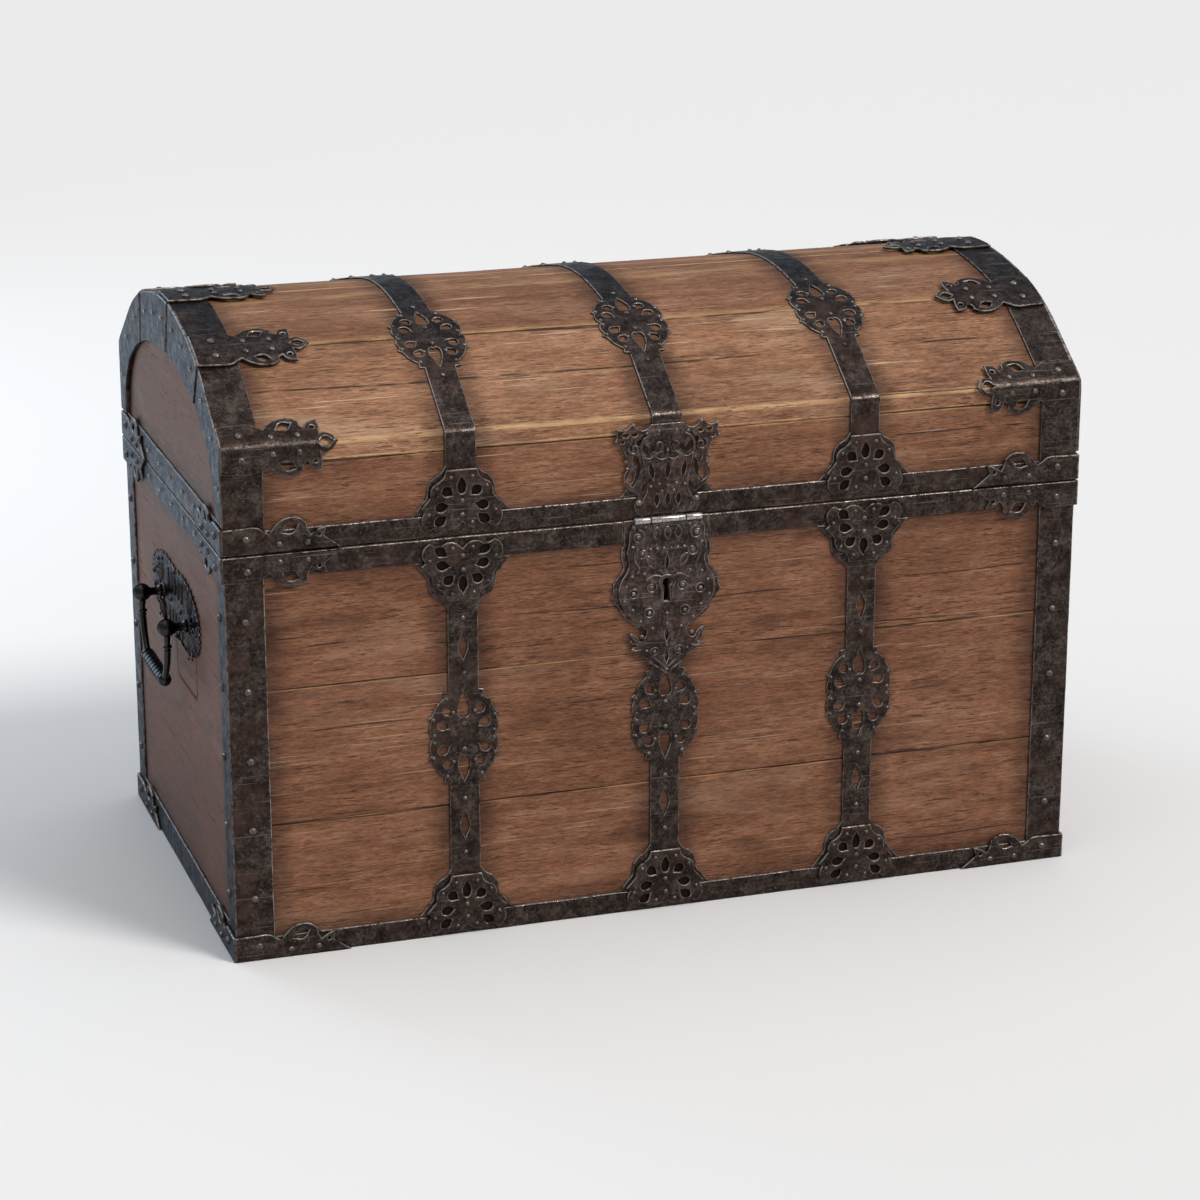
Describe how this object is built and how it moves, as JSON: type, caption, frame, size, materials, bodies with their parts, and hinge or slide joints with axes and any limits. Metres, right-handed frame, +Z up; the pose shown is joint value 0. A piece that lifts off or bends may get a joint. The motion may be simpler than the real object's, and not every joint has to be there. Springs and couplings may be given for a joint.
{
  "type": "domed coffer chest",
  "caption": "Boarded storage coffer with a hinged domed lid, bound in pierced iron straps, with a hasp over a mortised lock and drop handles on its ends.",
  "frame": {"origin": "on the floor, under the middle of the chest", "axes": "+X to the right along the front, +Y from the front with the lock to the hinged back, +Z up"},
  "size_m": [1.069, 0.5694, 0.693],
  "materials": {
    "chest_wood": "worn, waxed boards with open grain and dark cracks",
    "lid_wood": "worn, waxed staves with pale rubbed edges",
    "band_iron": "dark forged iron, mottled brown, with edges rubbed lighter",
    "hasp_iron": "dark forged iron, worn bright on the barrel",
    "handle_iron": "black forged iron, polished by handling",
    "lock_steel": "filed and oiled steel"
  },
  "bodies": {
    "chest": {"front_board_lower": "chest_wood", "front_board_middle": "chest_wood", "front_board_upper": "chest_wood", "back_boards": "chest_wood", "left_end_boards": "chest_wood", "right_end_boards": "chest_wood", "bottom_boards": "chest_wood", "front_rim_bands": "band_iron", "back_rim_band": "band_iron", "end_rim_bands": "band_iron", "front_foot_band": "band_iron", "back_foot_band": "band_iron", "end_foot_bands": "band_iron", "front_corner_angles": "band_iron", "back_corner_angles": "band_iron", "front_strap_left": "band_iron", "front_strap_centre": "band_iron", "front_strap_right": "band_iron", "back_straps": "band_iron", "front_palmettes": "band_iron", "foot_corner_mounts": "band_iron", "rim_corner_mounts": "band_iron", "lock_plate": "hasp_iron", "lock_case": "lock_steel", "lock_spring": "lock_steel", "hinge_base_leaves": "hasp_iron", "handle_plates": "handle_iron", "handle_posts": "handle_iron"},
    "lid": {"lid_front_riser": "lid_wood", "lid_back_riser": "lid_wood", "lid_front_lower_stave": "lid_wood", "lid_back_lower_stave": "lid_wood", "lid_front_upper_stave": "lid_wood", "lid_back_upper_stave": "lid_wood", "lid_left_gable": "lid_wood", "lid_right_gable": "lid_wood", "lid_front_rim_band": "band_iron", "lid_back_rim_band": "band_iron", "lid_end_rim_bands": "band_iron", "lid_end_bands": "band_iron", "lid_strap_left": "band_iron", "lid_strap_centre": "band_iron", "lid_strap_right": "band_iron", "lid_leaf_mounts": "band_iron", "lid_corner_mounts": "band_iron", "lid_palmettes": "band_iron", "hinge_lid_leaves": "hasp_iron", "lid_hasp_plate": "hasp_iron"},
    "hasp": {"hasp_flap": "hasp_iron", "hasp_staple": "hasp_iron"},
    "left_bail": {"left_bail": "handle_iron"},
    "right_bail": {"right_bail": "handle_iron"},
    "lock_bolt": {"lock_bolt": "lock_steel"}
  },
  "joints": [
    {"name": "lid_hinge", "type": "hinge", "parent": "chest", "child": "lid", "pos_m": [0, 0.2805, 0.4652], "axis": [-1, 0, 0], "range_deg": [0, 100]},
    {"name": "hasp_hinge", "type": "hinge", "parent": "lid", "child": "hasp", "pos_m": [0, -0.2805, 0.4652], "axis": [-1, 0, 0], "range_deg": [0, 150]},
    {"name": "left_bail_swing", "type": "hinge", "parent": "chest", "child": "left_bail", "pos_m": [-0.525, 0, 0.328], "axis": [0, 1, 0], "range_deg": [-10, 100]},
    {"name": "right_bail_swing", "type": "hinge", "parent": "chest", "child": "right_bail", "pos_m": [0.525, 0, 0.328], "axis": [0, -1, 0], "range_deg": [-10, 100]},
    {"name": "lock_bolt_slide", "type": "slide", "parent": "chest", "child": "lock_bolt", "axis": [1, 0, 0], "range_m": [0, 0.016]}
  ]
}
